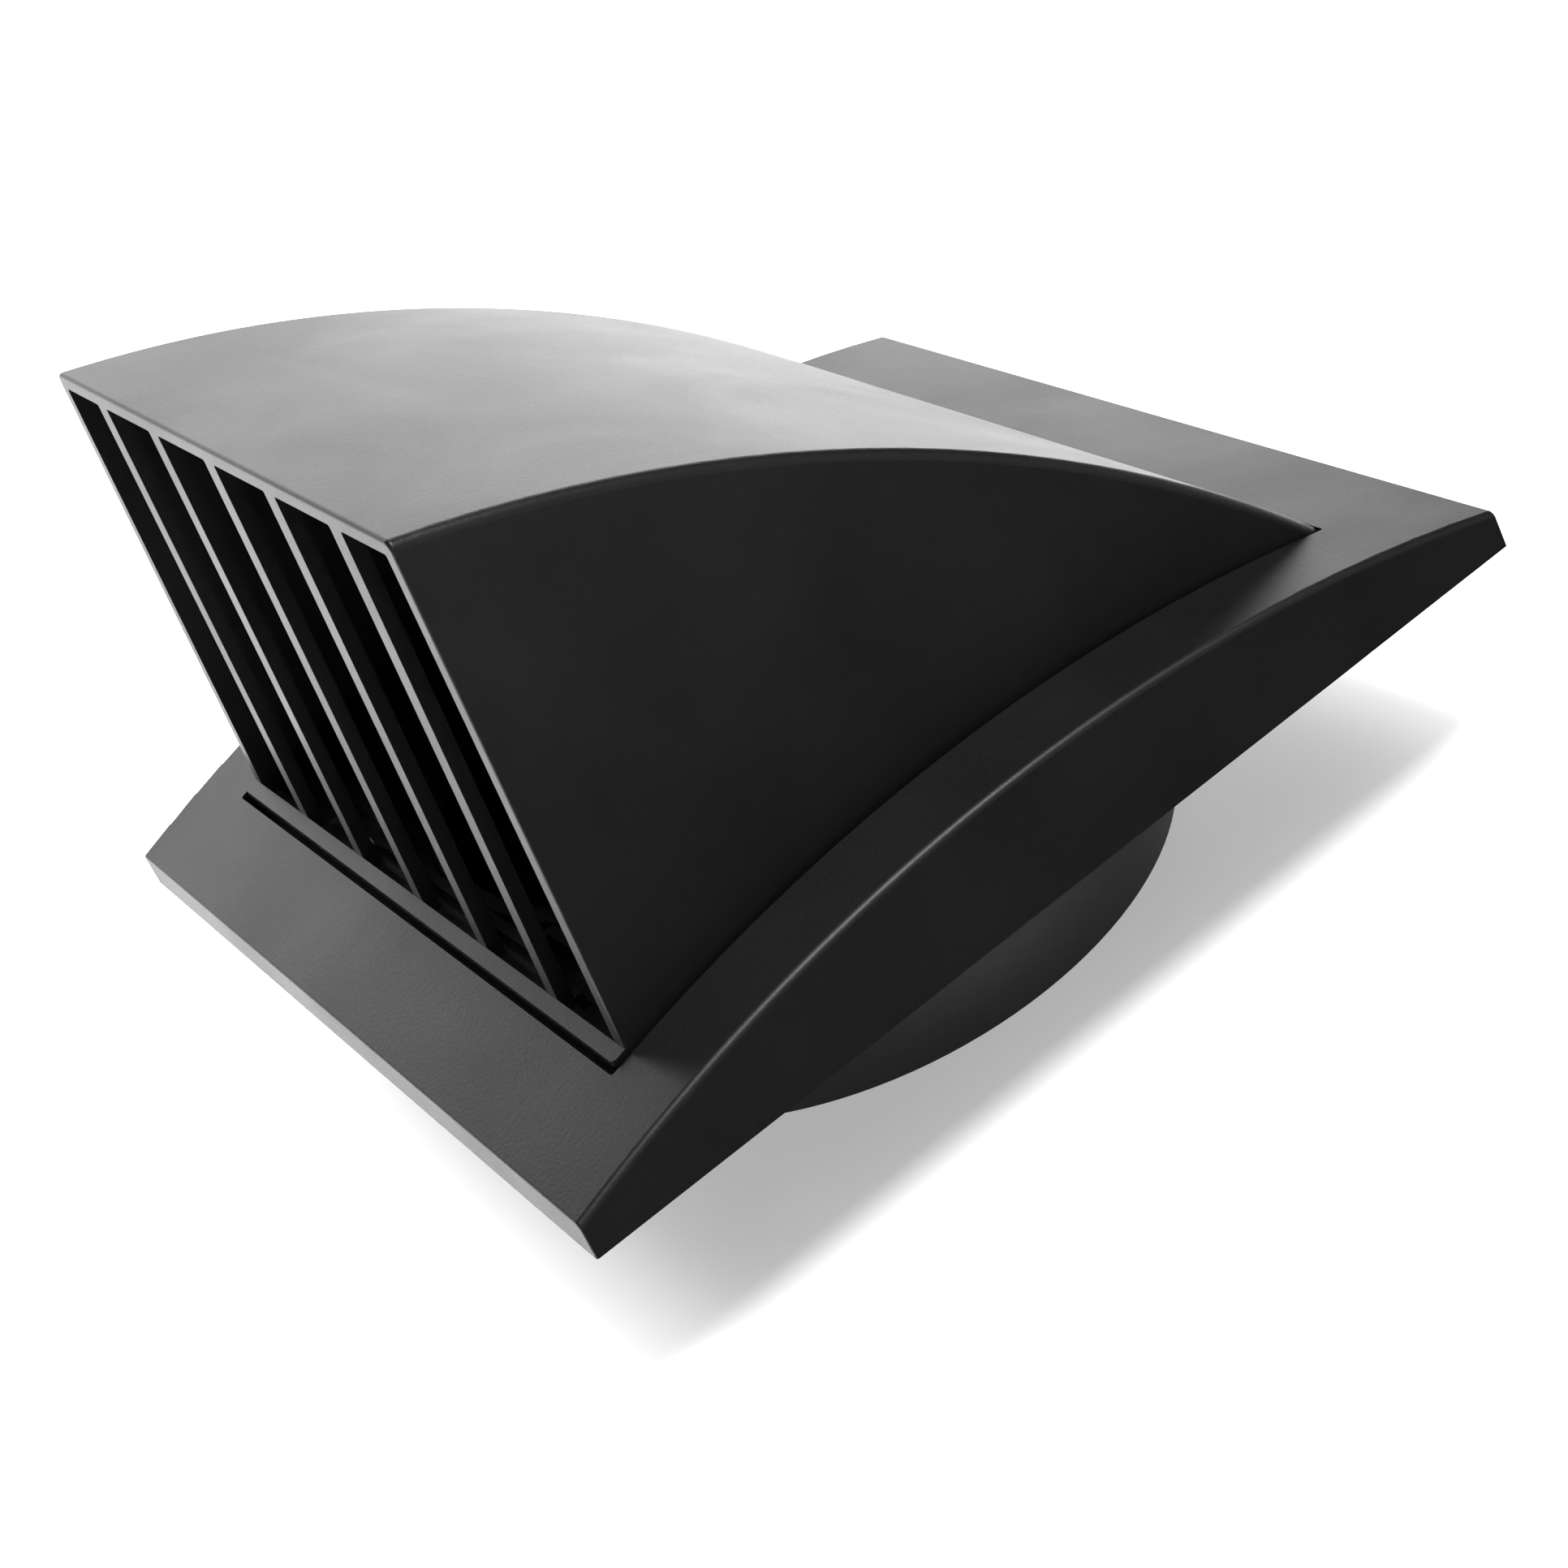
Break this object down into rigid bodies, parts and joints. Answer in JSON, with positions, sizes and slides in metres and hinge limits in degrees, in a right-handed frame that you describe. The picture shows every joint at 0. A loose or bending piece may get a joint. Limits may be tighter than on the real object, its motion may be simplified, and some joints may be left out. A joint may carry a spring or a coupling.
{
  "type": "hooded roof vent cover",
  "caption": "Black moulded hood with a barred front, clipped on a square domed base plate with a round duct spigot and a two-blade back-draught damper.",
  "frame": {"origin": "on the duct axis, in the plane of the plate's back face, which lies on the roof", "axes": "+Z out of the roof along the duct axis, -Y towards the open barred front of the hood, +X to the right when looking along +Y"},
  "size_m": [0.146, 0.146, 0.1072],
  "materials": {
    "plate_plastic": "fine moulded grain",
    "hood_plastic": "fine moulded grain",
    "spigot_plastic": "smooth moulded",
    "damper_plastic": "smooth moulded",
    "blade_plastic": "smooth moulded",
    "gasket_rubber": "matt",
    "seal_foam": "closed-cell foam",
    "seat_foam": "closed-cell foam",
    "screw_steel": "zinc plated",
    "axle_steel": "drawn stainless rod",
    "spring_steel": "drawn stainless wire"
  },
  "bodies": {
    "cowl": {"base_plate": "plate_plastic", "hood": "hood_plastic", "duct_spigot": "spigot_plastic", "spigot_gasket": "gasket_rubber", "roof_gasket": "seal_foam", "spigot_screws": "screw_steel", "damper_frame": "damper_plastic", "damper_axle": "axle_steel", "seat_seals": "seat_foam", "front_spring": "spring_steel", "rear_spring": "spring_steel"},
    "front_flap": {"front_blade": "blade_plastic"},
    "rear_flap": {"rear_blade": "blade_plastic"}
  },
  "joints": [
    {"name": "front_flap_hinge", "type": "hinge", "parent": "cowl", "child": "front_flap", "pos_m": [0, 0, -0.005], "axis": [-1, 0, 0], "range_deg": [0, 78], "stiffness_Nm_per_rad": 0.0003, "springref_deg": -45.84, "deforming": ["front_spring"]},
    {"name": "rear_flap_hinge", "type": "hinge", "parent": "cowl", "child": "rear_flap", "pos_m": [0, 0, -0.005], "axis": [1, 0, 0], "range_deg": [0, 78], "stiffness_Nm_per_rad": 0.0003, "springref_deg": -45.84, "deforming": ["rear_spring"]}
  ]
}
